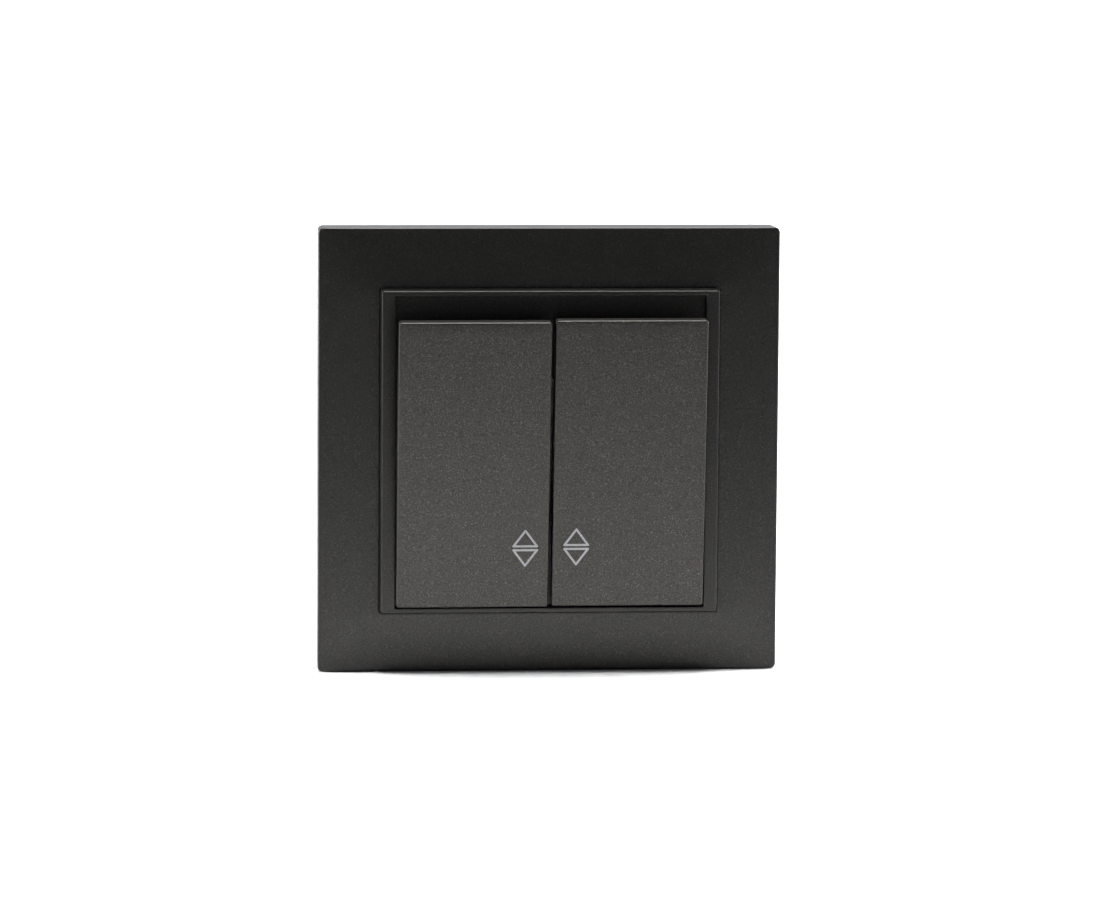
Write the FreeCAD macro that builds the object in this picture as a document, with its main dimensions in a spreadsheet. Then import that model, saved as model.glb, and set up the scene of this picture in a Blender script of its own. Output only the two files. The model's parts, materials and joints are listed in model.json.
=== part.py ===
import FreeCAD, Part
import os
import re
import Sketcher

# Double rocker switch for a round 60 mm wall box, in millimetres.
# X runs to the right, Y into the wall and Z up. The wall surface is y = 0 and the
# origin is the middle of the two box screws, so everything in front of the wall
# has a negative y. Each rocker is shown with its upper end out.

os.makedirs("parts", exist_ok=True)
doc = FreeCAD.newDocument("DoubleSwitch")

# Driving dimensions
sizes = {
    # cover frame
    "frameWidth": 83.0,
    "frameHeight": 80.2,
    "frameDepth": 8.0,
    "frameRise": 1.2,
    "frameWall": 2.0,
    "frameSkin": 1.8,
    "frameDraft": 0.2,
    "frameCorner": 1.0,
    # trim ring inside the frame
    "ringWidth": 60.5,
    "ringHeight": 58.0,
    "ringProud": 2.25,
    "ringLip": 3.2,
    "ringDraft": 0.4,
    "ringRimEnd": 0.8,
    "ringRimSide": 2.35,
    "ringTray": 2.35,
    "ringSlope": 0.25,
    "ringWall": 1.0,
    "ringReach": 9.4,
    "ringFloor": 1.2,
    "ringWindowWidth": 40.0,
    "ringWindowHeight": 26.0,
    "ringCorner": 0.4,
    "ringEdge": 0.25,
    "ringGap": 0.15,
    "ringSeam": 0.06,
    "legWidth": 4.5,
    "legOffset": 5.75,
    "legHook": 0.4,
    "legTail": 1.5,
    # rocker keys
    "keyHeight": 52.3,
    "keyProud": 3.6,
    "keyPlate": 1.8,
    "keySkirt": 2.6,
    "keyWall": 1.4,
    "keyCorner": 0.6,
    "keyEdge": 0.3,
    "keyGap": 0.65,
    "keySideGap": 0.3,
    "leftTilt": 6.5,
    "rightTilt": 5.7,
    "pivotDepth": 2.5,
    # printed two-way marks
    "markInset": 4.25,
    "markLift": 10.95,
    "markWidth": 4.25,
    "markHeight": 2.85,
    "markSplit": 0.36,
    "markLine": 0.38,
    "markInk": 0.05,
    # cradles that carry the keys
    "platformHeight": 24.0,
    "platformWidth": 15.0,
    "platformPlate": 1.5,
    "stemWidth": 12.0,
    "stemThick": 6.0,
    "hubLength": 14.0,
    "hubRadius": 3.4,
    "trunnionRadius": 1.4,
    "trunnionReach": 1.2,
    "guideRadius": 3.0,
    "guideLength": 7.0,
    "clipThick": 1.2,
    "clipReach": 2.2,
    # plungers and their springs
    "plungerRadius": 1.95,
    "plungerBack": 4.0,
    "plungerNeck": 9.4,
    "plungerReach": 11.3,
    "plungerTip": 1.2,
    "springRadius": 1.55,
    "springWire": 0.2,
    "springPitch": 0.72,
    "springSeat": 0.8,
    # see-saw contact blades
    "bladeLength": 9.0,
    "bladeWidth": 5.0,
    "bladeThick": 0.8,
    "bladeAngle": 7.0,
    "tipGap": 0.15,
    "contactRadius": 1.5,
    "contactHeight": 0.7,
    "contactOffset": 7.2,
    "contactGap": 0.05,
    # terminal strips, screws and clamps
    "stripThick": 1.0,
    "stripWidth": 8.0,
    "stripStart": 5.4,
    "stripBend": 9.2,
    "stripEnd": 17.4,
    "postWidth": 4.0,
    "postThick": 1.2,
    "webLow": 3.0,
    "webHigh": 6.0,
    "footDrop": 2.0,
    "screwOffset": 14.0,
    "screwRadius": 1.7,
    "screwHead": 2.9,
    "screwHeadHeight": 2.3,
    "screwTail": 1.5,
    "screwSlot": 0.8,
    "screwSlotDepth": 1.1,
    "wireRoom": 2.4,
    "wireWidth": 5.2,
    "clampSide": 6.2,
    "clampThick": 1.0,
    # housing base
    "baseWidth": 44.0,
    "baseHeight": 40.0,
    "baseDepth": 27.0,
    "baseFloor": 20.5,
    "baseWall": 1.6,
    "baseCorner": 3.0,
    "partition": 3.0,
    "pocketWidth": 6.6,
    "pocketStart": 10.6,
    "reliefHeight": 8.2,
    "reliefInset": 3.5,
    "reliefFloor": 2.0,
    "nubHeight": 0.8,
    # mechanism cover
    "coverPlate": 1.8,
    "coverFlange": 1.0,
    "coverWindow": 11.2,
    # steel mounting strap
    "strapMargin": 3.0,
    "strapThick": 1.0,
    "strapCorner": 6.0,
    "strapOpenWidth": 39.0,
    "strapOpenHeight": 34.0,
    "boxPitch": 60.0,
    "boxSlotLength": 5.5,
    "boxSlotWidth": 3.8,
    "lugWidth": 10.0,
    "lugDrop": 6.5,
    "lugWindow": 5.0,
    "lugWindowStart": 2.7,
    "lugWindowEnd": 5.3,
    # clearances
    "fitGap": 0.05,
    "slideGap": 0.1,
    "looseGap": 0.2,
    # how far from a plane an edge may lie and still belong to it
    "flatness": 0.01,
}

sheet = doc.addObject("Spreadsheet::Sheet", "Sizes")
for row, (alias, size) in enumerate(sizes.items(), start=1):
    sheet.set("A%d" % row, alias)
    sheet.set("B%d" % row, str(size))
    sheet.setAlias("B%d" % row, alias)
doc.recompute()


# Working tools
def bound(rule):
    # a rule written with the sheet's names becomes an expression on the sheet
    return re.sub(r"[A-Za-z]+", lambda word: "Sizes." + word.group()
                  if word.group() in sizes else word.group(), rule)


def value(rule):
    # the number that a rule gives, for shapes made by functions and for edge choice
    return float(sheet.evalExpression(bound(rule)))


def box(name, spanX, spanY, spanZ):
    # a block between two rules along each axis
    block = doc.addObject("Part::Box", name)
    for side, axis, (low, high) in zip(("Length", "Width", "Height"), "xyz",
                                       (spanX, spanY, spanZ)):
        block.setExpression(side, bound("(%s)-(%s)" % (high, low)))
        block.setExpression("Placement.Base." + axis, bound(low))
    return block


def middle(width, centre="0"):
    # the two ends of a width about a centre
    return ("(%s)-(%s)/2" % (centre, width), "(%s)+(%s)/2" % (centre, width))


turns = {
    "x": FreeCAD.Rotation(FreeCAD.Vector(0, 1, 0), 90),
    "y": FreeCAD.Rotation(FreeCAD.Vector(1, 0, 0), -90),
    "z": FreeCAD.Rotation(),
}


def rod(name, radius, along, span, first="0", second="0"):
    # a cylinder along one axis, its centre at two rules on the other axes
    bar = doc.addObject("Part::Cylinder", name)
    bar.Placement = FreeCAD.Placement(FreeCAD.Vector(), turns[along])
    bar.setExpression("Radius", bound(radius))
    bar.setExpression("Height", bound("(%s)-(%s)" % (span[1], span[0])))
    bar.setExpression("Placement.Base." + along, bound(span[0]))
    others = [axis for axis in "xyz" if axis != along]
    bar.setExpression("Placement.Base." + others[0], bound(first))
    bar.setExpression("Placement.Base." + others[1], bound(second))
    return bar


def wedge(name, spanY, first, second):
    # a block whose ends differ: half width and half height at the two ends of its depth
    block = doc.addObject("Part::Wedge", name)
    for prefix, (halfX, halfZ) in (("", first), ("2", second)):
        for axis, half in (("X", halfX), ("Z", halfZ)):
            block.setExpression(axis + prefix + "min", bound("-(%s)" % half))
            block.setExpression(axis + prefix + "max", bound(half))
    block.setExpression("Ymin", bound(spanY[0]))
    block.setExpression("Ymax", bound(spanY[1]))
    return block


def fuse(name, pieces):
    joined = doc.addObject("Part::MultiFuse", name)
    joined.Shapes = pieces
    return joined


def cut(name, base, tools):
    tool = tools[0] if len(tools) == 1 else fuse(name + "Tools", tools)
    result = doc.addObject("Part::Cut", name)
    result.Base = base
    result.Tool = tool
    return result


def runsDeep(edge):
    # true for an edge that runs from the front to the back
    return edge.YLength > 2 * max(edge.XLength, edge.ZLength)


def liesAt(depth):
    # a test for edges that lie in the plane at one depth
    place = value(depth)
    return lambda edge: max(abs(edge.YMin - place), abs(edge.YMax - place)) < value("flatness")


def rounded(name, base, radius, chosen):
    # fillets the edges whose bounding box passes the test
    doc.recompute()
    size = value(radius)
    edges = [number for number, edge in enumerate(base.Shape.Edges, start=1)
             if chosen(edge.BoundBox)]
    fillet = doc.addObject("Part::Fillet", name)
    fillet.Base = base
    fillet.Edges = [(number, size, size) for number in edges]
    return fillet


def placed(piece, label, alongX="0", alongY="0", alongZ="0", tilt=None):
    # names a finished sub-part and puts it in its place, turned about X
    piece.Label = label
    if tilt is not None:
        base = piece.Placement.Base
        piece.Placement = FreeCAD.Placement(base, FreeCAD.Rotation(FreeCAD.Vector(1, 0, 0), 1))
        piece.setExpression("Placement.Rotation.Angle", bound(tilt))
    for axis, rule in zip("xyz", (alongX, alongY, alongZ)):
        if rule != "0":
            piece.setExpression("Placement.Base." + axis, bound(rule))
    subparts.append(piece)
    return piece


def sketch(body, name, role, points, offset="0"):
    # a closed outline whose corners are tied to the sheet, on an origin plane
    plane = [item for item in body.Origin.OriginFeatures if item.Role == role][0]
    drawing = body.newObject("Sketcher::SketchObject", name)
    drawing.AttachmentSupport = [(plane, "")]
    drawing.MapMode = "FlatFace"
    if offset != "0":
        drawing.setExpression("AttachmentOffset.Base.z", bound(offset))
    corners = [(value(across), value(up)) for across, up in points]
    for number, start in enumerate(corners):
        end = corners[(number + 1) % len(corners)]
        drawing.addGeometry(Part.LineSegment(FreeCAD.Vector(*start, 0),
                                             FreeCAD.Vector(*end, 0)), False)
    for number in range(len(corners)):
        following = (number + 1) % len(corners)
        drawing.addConstraint(Sketcher.Constraint("Coincident", number, 2, following, 1))
    for number, rules in enumerate(points):
        for kind, rule, place in zip(("DistanceX", "DistanceY"), rules, corners[number]):
            index = drawing.addConstraint(
                Sketcher.Constraint(kind, -1, 1, number, 1, place))
            drawing.setExpression("Constraints[%d]" % index, bound(rule))
    return drawing


def padded(label, role, points, length):
    # a body with one outline, thickened to both sides of its plane
    body = doc.addObject("PartDesign::Body", label + "Body")
    pad = body.newObject("PartDesign::Pad", label + "Pad")
    pad.Profile = sketch(body, label + "Outline", role, points)
    pad.Midplane = True
    pad.setExpression("Length", bound(length))
    body.Tip = pad
    return body


def turned(label, points):
    # a body turned about the Y axis from a half outline of radius and depth
    body = doc.addObject("PartDesign::Body", label + "Body")
    outline = sketch(body, label + "Outline", "XY_Plane", points)
    revolution = body.newObject("PartDesign::Revolution", label + "Turn")
    revolution.Profile = outline
    revolution.ReferenceAxis = (outline, ["V_Axis"])
    revolution.Angle = 360
    body.Tip = revolution
    return body


def side(sign, low, high):
    # a span on the right, or its mirror image on the left
    return (low, high) if sign > 0 else ("-(%s)" % high, "-(%s)" % low)


def signed(sign, rule):
    return rule if sign > 0 else "-(%s)" % rule


subparts = []
gangs = (("left", -1), ("right", 1))

# Derived places, as rules on the sheet
frameFront = "(-frameDepth-frameRise)"
ringFront = "(-frameDepth-frameRise-ringProud)"
ringShoulder = "(ringLip-frameDepth-frameRise-ringProud)"
ringInner = "(ringWidth-2*ringRimSide)"
trayFloor = "(ringTray-frameDepth-frameRise-ringProud)"
keyWidth = "((ringWidth-2*ringRimSide-2*keySideGap-keyGap)/2)"
keyFace = "(-pivotDepth-frameDepth-frameRise-ringProud-keyProud)"
keyUnder = "(%s+keyPlate)" % keyFace
keyBelly = "(keySkirt+keyHeight/2*tan(leftTilt))"
platformBack = "(%s+platformPlate)" % keyUnder
cavityWidth = "(baseWidth-2*baseWall)"
cavityHeight = "(baseHeight-2*baseWall)"
gangX = "((baseWidth/2-baseWall+partition/2)/2)"
gangHalf = "((baseWidth/2-baseWall-partition/2)/2)"
trunnionHalf = "(%s+trunnionReach)" % gangHalf
bladeAxis = "(pivotDepth+plungerReach+tipGap+bladeThick/cos(bladeAngle))"
armFront = "(%s+2*contactHeight+contactGap)" % bladeAxis
stripFront = "(baseFloor-stripThick)"
clampFront = "(baseFloor+wireRoom)"
clampBack = "(baseFloor+wireRoom+clampThick)"
terminals = [(column, row) for row in (1, -1)
             for column in ("-" + gangX, "0", gangX)]


# Cover frame: a shallow moulded shell whose face falls away to its four sides
def domeReach(across, ringAcross):
    return "(((%s/2)^2-(%s/2)^2-frameRise^2)/(2*frameRise))" % (across, ringAcross)


def dome(name, along, across, ringAcross, span):
    # the large cylinder that the face follows between its edge and the opening
    reach = domeReach(across, ringAcross)
    radius = "sqrt(%s^2+(%s/2)^2)" % (reach, across)
    centre = "%s-frameDepth" % reach
    if along == "z":
        return rod(name, radius, "z", middle("2*" + span), "0", centre)
    return rod(name, radius, "x", middle("2*" + span), centre, "0")


def coverFrame():
    blank = wedge("FrameBlank", (frameFront, "0"), ("frameWidth/2", "frameHeight/2"),
                  ("frameWidth/2-frameDraft", "frameHeight/2-frameDraft"))
    corners = rounded("FrameCorners", blank, "frameCorner", runsDeep)
    domed = doc.addObject("Part::MultiCommon", "FrameDomed")
    domed.Shapes = [
        corners,
        dome("FrameDomeAcross", "z", "frameWidth", "ringWidth", "frameHeight"),
        dome("FrameDomeUp", "x", "frameHeight", "ringHeight", "frameWidth"),
    ]
    inner = ("frameSkin-frameDepth", "frameDepth")
    openWidth = ringInner + "+2*ringWall+2*ringGap"
    openHeight = "ringHeight+2*ringGap"
    hollow = box("FrameHollow", middle("frameWidth-2*frameWall-2*frameDraft"), inner,
                 middle("frameHeight-2*frameWall-2*frameDraft"))
    collar = box("FrameCollar", middle(openWidth + "+2*frameWall"),
                 ("frameSkin/2-frameDepth", "-strapThick-fitGap"),
                 middle(openHeight + "+2*frameWall"))
    opening = box("FrameOpening", middle(openWidth), (ringFront, "frameDepth"),
                  middle(openHeight))
    recess = box("FrameRecess", middle("ringWidth+2*ringDraft+2*ringSeam"),
                 (ringFront, ringShoulder + "+fitGap"),
                 middle("ringHeight+2*ringDraft+2*ringSeam"))
    shell = fuse("FrameSolid", [cut("FrameShell", domed, [hollow]), collar])
    placed(cut("FrameBody", shell, [opening, recess]), "cover_frame")


# Trim ring: the raised surround with a shallow tray for the keys, clipped into the strap
def trimRing():
    lip = wedge("RingLip", (ringFront, ringShoulder), ("ringWidth/2", "ringHeight/2"),
                ("ringWidth/2+ringDraft", "ringHeight/2+ringDraft"))
    lipCorners = rounded("RingCorners", lip, "ringCorner", runsDeep)
    lipEdges = rounded("RingEdges", lipCorners, "ringEdge", liesAt(ringFront))
    reach = (ringFront + "+ringEdge+ringEdge", ringFront + "+ringReach")
    wall = box("RingWall", middle(ringInner + "+2*ringWall"), reach, middle("ringHeight"))
    pieces = [lipEdges, wall]
    for name, sign in gangs:
        for level, row in (("Upper", 1), ("Lower", -1)):
            centre = signed(row, "legOffset")
            title = "RingLeg" + name.title() + level
            leg = side(sign, ringInner + "/2", ringInner + "/2+ringWall")
            hook = side(sign, ringInner + "/2", ringInner + "/2+ringWall+legHook")
            pieces.append(box(title, leg, (ringFront + "+ringLip", "legTail"),
                              middle("legWidth", centre)))
            pieces.append(box(title + "Hook", hook, ("slideGap", "legTail"),
                              middle("legWidth", centre)))
    tray = wedge("RingTray", (ringFront, trayFloor),
                 (ringInner + "/2", "ringHeight/2-ringRimEnd"),
                 (ringInner + "/2", "ringHeight/2-ringRimEnd-ringSlope"))
    hollow = box("RingHollow", middle(ringInner),
                 (trayFloor + "+ringFloor", ringFront + "+ringReach+ringFloor"),
                 middle("ringHeight-2*ringWall"))
    window = box("RingWindow", middle("ringWindowWidth"), (ringFront, "0"),
                 middle("ringWindowHeight"))
    placed(cut("RingBody", fuse("RingSolid", pieces), [tray, hollow, window]), "trim_ring")


# Rocker keys: moulded caps, deepest at mid-height, each with two clips for its cradle
def rocker(name, sign):
    title = "Key" + name.title()
    outline = [(keyFace, "-keyHeight/2"), (keyFace + "+keySkirt", "-keyHeight/2"),
               (keyFace + "+" + keyBelly, "0"), (keyFace + "+keySkirt", "keyHeight/2"),
               (keyFace, "keyHeight/2")]
    block = padded(title + "Block", "YZ_Plane", outline, keyWidth)
    block.setExpression("Placement.Base.x", bound(signed(sign, "(keyGap+%s)/2" % keyWidth)))
    corners = rounded(title + "Corners", block, "keyCorner", runsDeep)
    edges = rounded(title + "Edges", corners, "keyEdge", liesAt(keyFace))
    hollowX = side(sign, "keyGap/2+keyWall", "keyGap/2+%s-keyWall" % keyWidth)
    hollow = box(title + "Hollow", hollowX, (keyUnder, "0"), middle("keyHeight-2*keyWall"))
    pieces = [cut(title + "Cap", edges, [hollow])]
    for level, row in (("Upper", 1), ("Lower", -1)):
        clipX = middle("stemWidth", signed(sign, gangX))
        stalk = side(row, "platformHeight/2+fitGap", "platformHeight/2+fitGap+clipThick")
        barb = side(row, "platformHeight/2-clipThick/3", "platformHeight/2+fitGap+clipThick")
        pieces.append(box(title + "Clip" + level, clipX,
                          (keyUnder, keyUnder + "+clipReach"), stalk))
        pieces.append(box(title + "Barb" + level, clipX,
                          (platformBack + "+fitGap", keyUnder + "+clipReach"), barb))
    placed(fuse(title, pieces), "rocker_" + name, alongY="pivotDepth", tilt=name + "Tilt")


# Printed marks: two outlined triangles, base to base
def mark(name, sign):
    centreX = value("keyGap/2+markInset") * sign
    centreZ = value("markLift-keyHeight/2")
    front = value(keyFace)
    half, split = value("markWidth/2"), value("markSplit")
    rise, line, ink = value("markHeight"), value("markLine"), value("markInk")
    solids = []
    for row in (1, -1):
        base = centreZ + row * split
        corners = [FreeCAD.Vector(centreX - half, front, base),
                   FreeCAD.Vector(centreX + half, front, base),
                   FreeCAD.Vector(centreX, front, base + row * rise)]
        triangle = Part.makePolygon(corners + corners[:1])
        outer = Part.Face(triangle.makeOffset2D(line / 2, 0, False, False, False))
        inner = Part.Face(triangle.makeOffset2D(-line / 2, 2, False, False, False))
        solids.append(outer.cut(inner).extrude(FreeCAD.Vector(0, -ink, 0)))
    piece = doc.addObject("Part::Feature", "Mark" + name.title())
    piece.Shape = Part.makeCompound([solid for shape in solids for solid in shape.Solids])
    placed(piece, "mark_" + name, alongY="pivotDepth", tilt=name + "Tilt")


# Cradles: each carries a key, turns on two trunnions and guides a plunger
def cradle(name, sign):
    title = "Cradle" + name.title()
    centre = signed(sign, gangX)
    platform = box(title + "Platform", middle("platformWidth", centre),
                   (keyUnder, platformBack), middle("platformHeight"))
    stem = box(title + "Stem", middle("stemWidth", centre), (platformBack, "0"),
               middle("stemThick"))
    hub = rod(title + "Hub", "hubRadius", "x", middle("hubLength", centre))
    trunnion = rod(title + "Trunnion", "trunnionRadius", "x",
                   middle("2*" + trunnionHalf, centre))
    guide = rod(title + "Guide", "guideRadius", "y", ("0", "guideLength"), centre)
    bore = rod(title + "Bore", "plungerRadius+slideGap", "y",
               ("springSeat", "guideLength+slideGap"), centre)
    solid = fuse(title + "Solid", [platform, stem, hub, trunnion, guide])
    placed(cut(title, solid, [bore]), "cradle_" + name, alongY="pivotDepth", tilt=name + "Tilt")


# Plungers and the springs behind them
def plunger(name, sign):
    points = [("0", "plungerBack"), ("plungerRadius", "plungerBack"),
              ("plungerRadius", "plungerNeck"), ("plungerTip", "plungerNeck+plungerTip/2"),
              ("plungerTip", "plungerReach-plungerTip/2"), ("plungerTip/2", "plungerReach"),
              ("0", "plungerReach")]
    body = turned("Plunger" + name.title(), points)
    placed(body, "plunger_" + name, signed(sign, gangX), "pivotDepth", tilt=name + "Tilt")


def spring(name, sign):
    title = "Spring" + name.title()
    coil = doc.addObject("Part::Helix", title + "Coil")
    coil.Placement = FreeCAD.Placement(FreeCAD.Vector(), turns["y"])
    coil.setExpression("Radius", bound("springRadius"))
    coil.setExpression("Pitch", bound("springPitch"))
    coil.setExpression("Height", bound("plungerBack-springSeat-2*springWire-fitGap"))
    coil.setExpression("Placement.Base.y", bound("springSeat+springWire"))
    wire = doc.addObject("Part::Circle", title + "Wire")
    wire.setExpression("Radius", bound("springWire"))
    wire.setExpression("Placement.Base.x", bound("springRadius"))
    wire.setExpression("Placement.Base.y", bound("springSeat+springWire"))
    sweep = doc.addObject("Part::Sweep", title)
    sweep.Sections = [wire]
    sweep.Spine = (coil, [])
    sweep.Solid = True
    sweep.Frenet = True
    placed(sweep, "spring_" + name, signed(sign, gangX), "pivotDepth", tilt=name + "Tilt")


# See-saw blades and the silver contacts
def blade(name, sign):
    rise = "bladeLength*cos(bladeAngle)"
    drop = "bladeLength*sin(bladeAngle)"
    skin = "bladeThick/cos(bladeAngle)"
    points = [("0", "0"), ("-" + drop, rise), ("-%s-%s" % (drop, skin), rise),
              ("-" + skin, "0"), ("-%s-%s" % (drop, skin), "-" + rise),
              ("-" + drop, "-" + rise)]
    body = padded("Blade" + name.title(), "YZ_Plane", points, "bladeWidth")
    placed(body, "contact_blade_" + name, signed(sign, gangX), bladeAxis,
           tilt="-bladeAngle")


def movingContacts(name, sign):
    buttons = []
    for level, row in (("Upper", 1), ("Lower", -1)):
        button = rod("MovingContact" + name.title() + level, "contactRadius", "y",
                     ("0", "contactHeight"))
        button.Placement = FreeCAD.Placement(FreeCAD.Vector(),
                                             FreeCAD.Rotation(FreeCAD.Vector(1, 0, 0), 1))
        button.setExpression("Placement.Rotation.Angle", bound("(%d)*bladeAngle-90" % row))
        button.setExpression("Placement.Base.y", bound("-contactOffset*sin(bladeAngle)"))
        button.setExpression("Placement.Base.z",
                             bound("%d*contactOffset*cos(bladeAngle)" % row))
        buttons.append(button)
    placed(fuse("MovingContacts" + name.title(), buttons), "moving_contacts_" + name,
           signed(sign, gangX), bladeAxis, tilt="-bladeAngle")


def fixedContacts(name, sign):
    spanY = (armFront + "-contactHeight", armFront)
    buttons = [rod("FixedContact" + name.title() + level, "contactRadius", "y", spanY,
                   signed(sign, gangX), signed(row, "contactOffset"))
               for level, row in (("Upper", 1), ("Lower", -1))]
    placed(fuse("FixedContacts" + name.title(), buttons), "fixed_contacts_" + name)


# Terminal strips of the travelling and the common contacts
def screwHole(title, column, row):
    return rod(title + "Hole", "screwRadius+fitGap", "y",
               ("baseFloor-3*stripThick", "baseFloor+stripThick"), column,
               signed(row, "screwOffset"))


def traveller(name, sign, level, row):
    title = "Traveller" + name.title() + level.title()
    outline = [(armFront, "stripStart"), (armFront, "stripBend+stripThick"),
               (stripFront, "stripBend+stripThick"), (stripFront, "stripEnd"),
               ("baseFloor", "stripEnd"), ("baseFloor", "stripBend"),
               (armFront + "+stripThick", "stripBend"),
               (armFront + "+stripThick", "stripStart")]
    points = [(depth, signed(row, height)) for depth, height in outline]
    body = padded(title, "YZ_Plane", points, "stripWidth")
    body.setExpression("Placement.Base.x", bound(signed(sign, gangX)))
    placed(cut(title, body, [screwHole(title, signed(sign, gangX), row)]),
           "traveller_strip_%s_%s" % (name, level))


def common(name, sign):
    # the left one comes out at the top of the housing and the right one at its foot
    title = "Common" + name.title()
    row = -sign
    plate = (stripFront, "baseFloor")
    postX = middle("postWidth", signed(sign, gangX))
    pieces = [
        box(title + "Column", middle("stripWidth"), plate, side(row, "webLow", "stripEnd")),
        box(title + "Web", side(sign, "0", gangX + "+postWidth/2"), plate,
            side(row, "webLow", "webHigh")),
        box(title + "Foot", postX, plate, side(row, "-footDrop", "webHigh")),
        box(title + "Post", postX, (bladeAxis + "+fitGap", "baseFloor"), middle("postThick")),
    ]
    placed(cut(title, fuse(title + "Solid", pieces), [screwHole(title, "0", row)]),
           "common_strip_" + name)


# Terminal screws and their square clamps
def terminalScrews():
    points = [("0", stripFront + "-screwTail"), ("screwRadius", stripFront + "-screwTail"),
              ("screwRadius", clampBack), ("screwHead", clampBack),
              ("screwHead", clampBack + "+screwHeadHeight"),
              ("0", clampBack + "+screwHeadHeight")]
    screws = []
    for number, (column, row) in enumerate(terminals):
        title = "TerminalScrew%d" % number
        height = signed(row, "screwOffset")
        body = turned(title, points)
        body.setExpression("Placement.Base.x", bound(column))
        body.setExpression("Placement.Base.z", bound(height))
        slotY = (clampBack + "+screwHeadHeight-screwSlotDepth", "baseDepth")
        slots = [box(title + "SlotAcross", middle("1.5*screwHead", column), slotY,
                     middle("screwSlot", height)),
                 box(title + "SlotUp", middle("screwSlot", column), slotY,
                     middle("1.5*screwHead", height))]
        screws.append(cut(title, body, slots))
    placed(fuse("TerminalScrews", screws), "terminal_screws")


def wireClamps():
    clamps = []
    for number, (column, row) in enumerate(terminals):
        title = "WireClamp%d" % number
        height = signed(row, "screwOffset")
        plate = box(title + "Plate", middle("clampSide", column), (clampFront, clampBack),
                    middle("clampSide", height))
        hole = rod(title + "Hole", "screwRadius+slideGap", "y",
                   (clampFront + "-clampThick", clampBack + "+clampThick"), column, height)
        clamps.append(cut(title, plate, [hole]))
    placed(fuse("WireClamps", clamps), "wire_clamps")


# Housing base: the moulded box that holds the contacts and the terminals
def housingBase():
    block = box("BaseBlock", middle("baseWidth"), ("0", "baseDepth"), middle("baseHeight"))
    corners = rounded("BaseCorners", block, "baseCorner", runsDeep)
    cavity = box("BaseCavity", middle(cavityWidth), ("-strapThick", "baseFloor"),
                 middle(cavityHeight))
    shell = cut("BaseShell", corners, [cavity])
    wallEnd = stripFront + "-screwTail-looseGap"
    solids = [shell, box("BasePartition", middle("partition"),
                         ("coverFlange+fitGap", wallEnd), middle(cavityHeight))]
    nubY = ("lugWindowStart+looseGap", "lugWindowEnd-looseGap")
    for level, row in (("Upper", 1), ("Lower", -1)):
        solids.append(box("BaseNub" + level, middle("lugWindow-2*looseGap"), nubY,
                          side(row, "baseHeight/2-nubHeight", "baseHeight/2+nubHeight")))
    tools = []
    for number, (column, row) in enumerate(terminals):
        title = "Terminal%d" % number
        tools.append(box(title + "Pocket", middle("pocketWidth", column),
                         (stripFront, "baseDepth+baseWall"),
                         side(row, "pocketStart", "stripEnd")))
        tools.append(box(title + "WireWindow", middle("wireWidth", column),
                         ("baseFloor", clampFront),
                         side(row, "stripEnd-baseWall", "baseHeight/2+baseWall")))
    for name, sign in gangs:
        title = name.title()
        centre = signed(sign, gangX)
        slotX = middle("2*(%s+slideGap)" % trunnionHalf, centre)
        tools.append(box("TrunnionSlot" + title, slotX, ("-strapThick", "pivotDepth"),
                         middle("2*(trunnionRadius+fitGap)")))
        tools.append(rod("TrunnionSeat" + title, "trunnionRadius+fitGap", "x", slotX,
                         "pivotDepth", "0"))
        tools.append(box("Relief" + title, side(sign, "baseWall/2", "baseWidth/2-reliefInset"),
                         ("baseFloor+reliefFloor", "baseDepth+baseWall"),
                         middle("2*reliefHeight")))
    placed(cut("HousingBase", fuse("BaseSolid", solids), tools), "housing_base")


# Mechanism cover: keeps the trunnions in their slots
def mechanismCover():
    plate = box("CoverPlate", middle("strapOpenWidth-2*looseGap"), ("-coverPlate", "0"),
                middle("strapOpenHeight-2*looseGap"))
    flange = box("CoverFlange", middle(cavityWidth + "-2*slideGap"), ("0", "coverFlange"),
                 middle(cavityHeight + "-2*slideGap"))
    solids, windows = [plate, flange], []
    for name, sign in gangs:
        title = name.title()
        tongueX = side(sign, cavityWidth + "/2-baseWall", cavityWidth + "/2+trunnionReach")
        solids.append(box("CoverTongue" + title, tongueX, ("0", "coverFlange"),
                          middle("2*(trunnionRadius-slideGap)")))
        windows.append(box("CoverWindow" + title,
                           middle("hubLength+2*looseGap", signed(sign, gangX)),
                           ("-2*coverPlate", "2*coverFlange"), middle("coverWindow")))
    placed(cut("MechanismCover", fuse("CoverSolid", solids), windows), "mechanism_cover")


# Mounting strap: one stamped and folded steel sheet
def boxSlot(name, sign, upwards):
    # a round-ended slot, its long side pointing at the middle of the strap
    centre = signed(sign, "boxPitch/2")
    sheetY = ("-2*strapThick", "strapThick")
    straight = "boxSlotLength-boxSlotWidth"
    ends = [centre + "-(%s)/2" % straight, centre + "+(%s)/2" % straight]
    if upwards:
        pieces = [box(name + "Bar", middle("boxSlotWidth"), sheetY, middle(straight, centre))]
        pieces += [rod(name + "End%d" % number, "boxSlotWidth/2", "y", sheetY, "0", end)
                   for number, end in enumerate(ends)]
    else:
        pieces = [box(name + "Bar", middle(straight, centre), sheetY, middle("boxSlotWidth"))]
        pieces += [rod(name + "End%d" % number, "boxSlotWidth/2", "y", sheetY, end, "0")
                   for number, end in enumerate(ends)]
    return fuse(name, pieces)


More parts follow.
